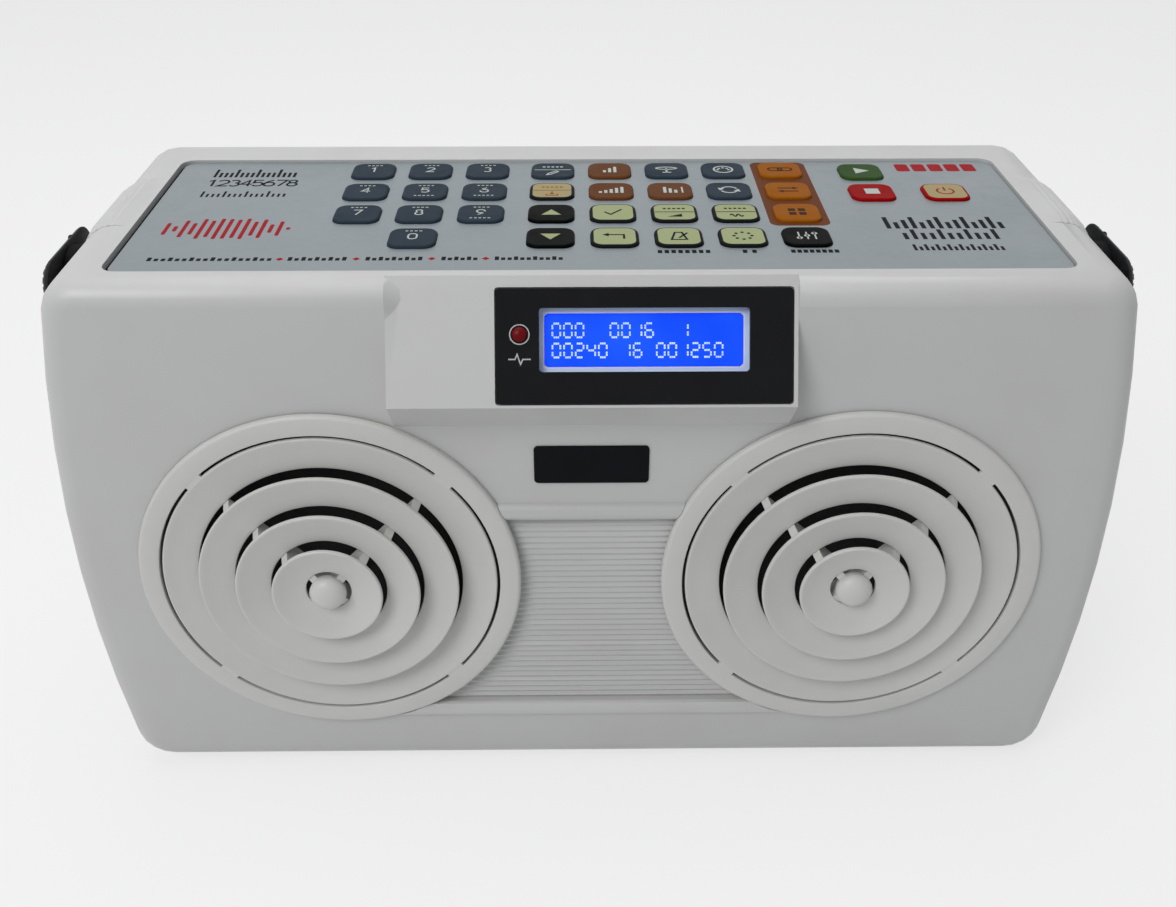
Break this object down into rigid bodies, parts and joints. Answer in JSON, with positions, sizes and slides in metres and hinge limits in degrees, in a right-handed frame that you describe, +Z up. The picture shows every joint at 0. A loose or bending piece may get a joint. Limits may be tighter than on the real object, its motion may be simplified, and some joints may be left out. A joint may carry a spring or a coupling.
{
  "type": "electronic tabla",
  "caption": "Box-shaped electronic tabla with louvred twin speakers, a tilted display, a key panel on top, rear sockets and a swinging strap.",
  "frame": {"origin": "middle of the footprint, on the surface that the rubber feet stand on", "axes": "+X to the right along the front, +Y to the back, +Z up; the speakers and the display face -Y"},
  "size_m": [0.3594, 0.1726, 0.1993],
  "materials": {
    "housing": "warm off-white satin plastic with a fine moulded texture",
    "grille": "off-white satin plastic",
    "window": "near-black gloss window plate",
    "lcd_frame": "pale grey frame",
    "lcd": "bright blue backlit display",
    "lamp": "dark red lamp",
    "panel": "silver-grey satin film",
    "circuit_board": "green circuit board",
    "black_plastic": "black plastic",
    "webbing": "black woven webbing",
    "anchor_plastic": "black gloss cap",
    "speaker_metal": "dark painted metal",
    "cone": "black paper cone",
    "foot_rubber": "black rubber",
    "key_slate": "dark slate blue",
    "key_brown": "brown",
    "key_orange": "orange",
    "key_pale_green": "pale green",
    "key_cream": "cream",
    "key_green": "green",
    "key_red": "red",
    "key_black": "black"
  },
  "bodies": {
    "housing": {"main_housing": "housing", "rear_cover": "housing", "display_window": "window", "lcd_frame": "lcd_frame", "lcd_glass": "lcd", "beat_led": "lamp", "keypad_panel": "panel", "keypad_board": "circuit_board", "main_board": "circuit_board", "power_supply_board": "circuit_board", "mains_inlet": "black_plastic", "line_out_jack": "black_plastic", "midi_out_socket": "black_plastic", "midi_in_socket": "black_plastic", "left_speaker_grille": "grille", "left_speaker_basket": "speaker_metal", "left_speaker_cone": "cone", "left_strap_anchor": "anchor_plastic", "right_speaker_grille": "grille", "right_speaker_basket": "speaker_metal", "right_speaker_cone": "cone", "right_strap_anchor": "anchor_plastic", "front_left_foot": "foot_rubber", "back_left_foot": "foot_rubber", "front_right_foot": "foot_rubber", "back_right_foot": "foot_rubber"},
    "strap": {"carrying_strap": "webbing"},
    "key_1": {"key_1": "key_slate"},
    "key_2": {"key_2": "key_slate"},
    "key_3": {"key_3": "key_slate"},
    "edit_key": {"edit_key": "key_slate"},
    "short_fill_key": {"short_fill_key": "key_brown"},
    "cymbal_key": {"cymbal_key": "key_slate"},
    "midi_key": {"midi_key": "key_slate"},
    "chain_key": {"chain_key": "key_orange"},
    "start_key": {"start_key": "key_green"},
    "key_4": {"key_4": "key_slate"},
    "key_5": {"key_5": "key_slate"},
    "key_6": {"key_6": "key_slate"},
    "store_key": {"store_key": "key_cream"},
    "long_fill_key": {"long_fill_key": "key_brown"},
    "ending_key": {"ending_key": "key_brown"},
    "sync_key": {"sync_key": "key_slate"},
    "chain_change_key": {"chain_change_key": "key_orange"},
    "stop_key": {"stop_key": "key_red"},
    "power_key": {"power_key": "key_cream"},
    "key_7": {"key_7": "key_slate"},
    "key_8": {"key_8": "key_slate"},
    "key_9": {"key_9": "key_slate"},
    "up_key": {"up_key": "key_black"},
    "ok_key": {"ok_key": "key_pale_green"},
    "volume_key": {"volume_key": "key_pale_green"},
    "pitch_key": {"pitch_key": "key_pale_green"},
    "group_key": {"group_key": "key_orange"},
    "key_0": {"key_0": "key_slate"},
    "down_key": {"down_key": "key_black"},
    "back_key": {"back_key": "key_pale_green"},
    "tempo_key": {"tempo_key": "key_pale_green"},
    "cycle_key": {"cycle_key": "key_pale_green"},
    "mode_key": {"mode_key": "key_black"}
  },
  "joints": [
    {"name": "strap_swing", "type": "hinge", "parent": "housing", "child": "strap", "pos_m": [0, -0.02613, 0.181], "axis": [1, 0, 0], "range_deg": [0, 150]},
    {"name": "key_1_press", "type": "slide", "parent": "housing", "child": "key_1", "axis": [0, 0, -1], "range_m": [0, 0.0004], "stiffness_N_per_m": 2000},
    {"name": "key_2_press", "type": "slide", "parent": "housing", "child": "key_2", "axis": [0, 0, -1], "range_m": [0, 0.0004], "stiffness_N_per_m": 2000},
    {"name": "key_3_press", "type": "slide", "parent": "housing", "child": "key_3", "axis": [0, 0, -1], "range_m": [0, 0.0004], "stiffness_N_per_m": 2000},
    {"name": "edit_key_press", "type": "slide", "parent": "housing", "child": "edit_key", "axis": [0, 0, -1], "range_m": [0, 0.0004], "stiffness_N_per_m": 2000},
    {"name": "short_fill_key_press", "type": "slide", "parent": "housing", "child": "short_fill_key", "axis": [0, 0, -1], "range_m": [0, 0.0004], "stiffness_N_per_m": 2000},
    {"name": "cymbal_key_press", "type": "slide", "parent": "housing", "child": "cymbal_key", "axis": [0, 0, -1], "range_m": [0, 0.0004], "stiffness_N_per_m": 2000},
    {"name": "midi_key_press", "type": "slide", "parent": "housing", "child": "midi_key", "axis": [0, 0, -1], "range_m": [0, 0.0004], "stiffness_N_per_m": 2000},
    {"name": "chain_key_press", "type": "slide", "parent": "housing", "child": "chain_key", "axis": [0, 0, -1], "range_m": [0, 0.0004], "stiffness_N_per_m": 2000},
    {"name": "start_key_press", "type": "slide", "parent": "housing", "child": "start_key", "axis": [0, 0, -1], "range_m": [0, 0.0004], "stiffness_N_per_m": 2000},
    {"name": "key_4_press", "type": "slide", "parent": "housing", "child": "key_4", "axis": [0, 0, -1], "range_m": [0, 0.0004], "stiffness_N_per_m": 2000},
    {"name": "key_5_press", "type": "slide", "parent": "housing", "child": "key_5", "axis": [0, 0, -1], "range_m": [0, 0.0004], "stiffness_N_per_m": 2000},
    {"name": "key_6_press", "type": "slide", "parent": "housing", "child": "key_6", "axis": [0, 0, -1], "range_m": [0, 0.0004], "stiffness_N_per_m": 2000},
    {"name": "store_key_press", "type": "slide", "parent": "housing", "child": "store_key", "axis": [0, 0, -1], "range_m": [0, 0.0004], "stiffness_N_per_m": 2000},
    {"name": "long_fill_key_press", "type": "slide", "parent": "housing", "child": "long_fill_key", "axis": [0, 0, -1], "range_m": [0, 0.0004], "stiffness_N_per_m": 2000},
    {"name": "ending_key_press", "type": "slide", "parent": "housing", "child": "ending_key", "axis": [0, 0, -1], "range_m": [0, 0.0004], "stiffness_N_per_m": 2000},
    {"name": "sync_key_press", "type": "slide", "parent": "housing", "child": "sync_key", "axis": [0, 0, -1], "range_m": [0, 0.0004], "stiffness_N_per_m": 2000},
    {"name": "chain_change_key_press", "type": "slide", "parent": "housing", "child": "chain_change_key", "axis": [0, 0, -1], "range_m": [0, 0.0004], "stiffness_N_per_m": 2000},
    {"name": "stop_key_press", "type": "slide", "parent": "housing", "child": "stop_key", "axis": [0, 0, -1], "range_m": [0, 0.0004], "stiffness_N_per_m": 2000},
    {"name": "power_key_press", "type": "slide", "parent": "housing", "child": "power_key", "axis": [0, 0, -1], "range_m": [0, 0.0004], "stiffness_N_per_m": 2000},
    {"name": "key_7_press", "type": "slide", "parent": "housing", "child": "key_7", "axis": [0, 0, -1], "range_m": [0, 0.0004], "stiffness_N_per_m": 2000},
    {"name": "key_8_press", "type": "slide", "parent": "housing", "child": "key_8", "axis": [0, 0, -1], "range_m": [0, 0.0004], "stiffness_N_per_m": 2000},
    {"name": "key_9_press", "type": "slide", "parent": "housing", "child": "key_9", "axis": [0, 0, -1], "range_m": [0, 0.0004], "stiffness_N_per_m": 2000},
    {"name": "up_key_press", "type": "slide", "parent": "housing", "child": "up_key", "axis": [0, 0, -1], "range_m": [0, 0.0004], "stiffness_N_per_m": 2000},
    {"name": "ok_key_press", "type": "slide", "parent": "housing", "child": "ok_key", "axis": [0, 0, -1], "range_m": [0, 0.0004], "stiffness_N_per_m": 2000},
    {"name": "volume_key_press", "type": "slide", "parent": "housing", "child": "volume_key", "axis": [0, 0, -1], "range_m": [0, 0.0004], "stiffness_N_per_m": 2000},
    {"name": "pitch_key_press", "type": "slide", "parent": "housing", "child": "pitch_key", "axis": [0, 0, -1], "range_m": [0, 0.0004], "stiffness_N_per_m": 2000},
    {"name": "group_key_press", "type": "slide", "parent": "housing", "child": "group_key", "axis": [0, 0, -1], "range_m": [0, 0.0004], "stiffness_N_per_m": 2000},
    {"name": "key_0_press", "type": "slide", "parent": "housing", "child": "key_0", "axis": [0, 0, -1], "range_m": [0, 0.0004], "stiffness_N_per_m": 2000},
    {"name": "down_key_press", "type": "slide", "parent": "housing", "child": "down_key", "axis": [0, 0, -1], "range_m": [0, 0.0004], "stiffness_N_per_m": 2000},
    {"name": "back_key_press", "type": "slide", "parent": "housing", "child": "back_key", "axis": [0, 0, -1], "range_m": [0, 0.0004], "stiffness_N_per_m": 2000},
    {"name": "tempo_key_press", "type": "slide", "parent": "housing", "child": "tempo_key", "axis": [0, 0, -1], "range_m": [0, 0.0004], "stiffness_N_per_m": 2000},
    {"name": "cycle_key_press", "type": "slide", "parent": "housing", "child": "cycle_key", "axis": [0, 0, -1], "range_m": [0, 0.0004], "stiffness_N_per_m": 2000},
    {"name": "mode_key_press", "type": "slide", "parent": "housing", "child": "mode_key", "axis": [0, 0, -1], "range_m": [0, 0.0004], "stiffness_N_per_m": 2000}
  ]
}
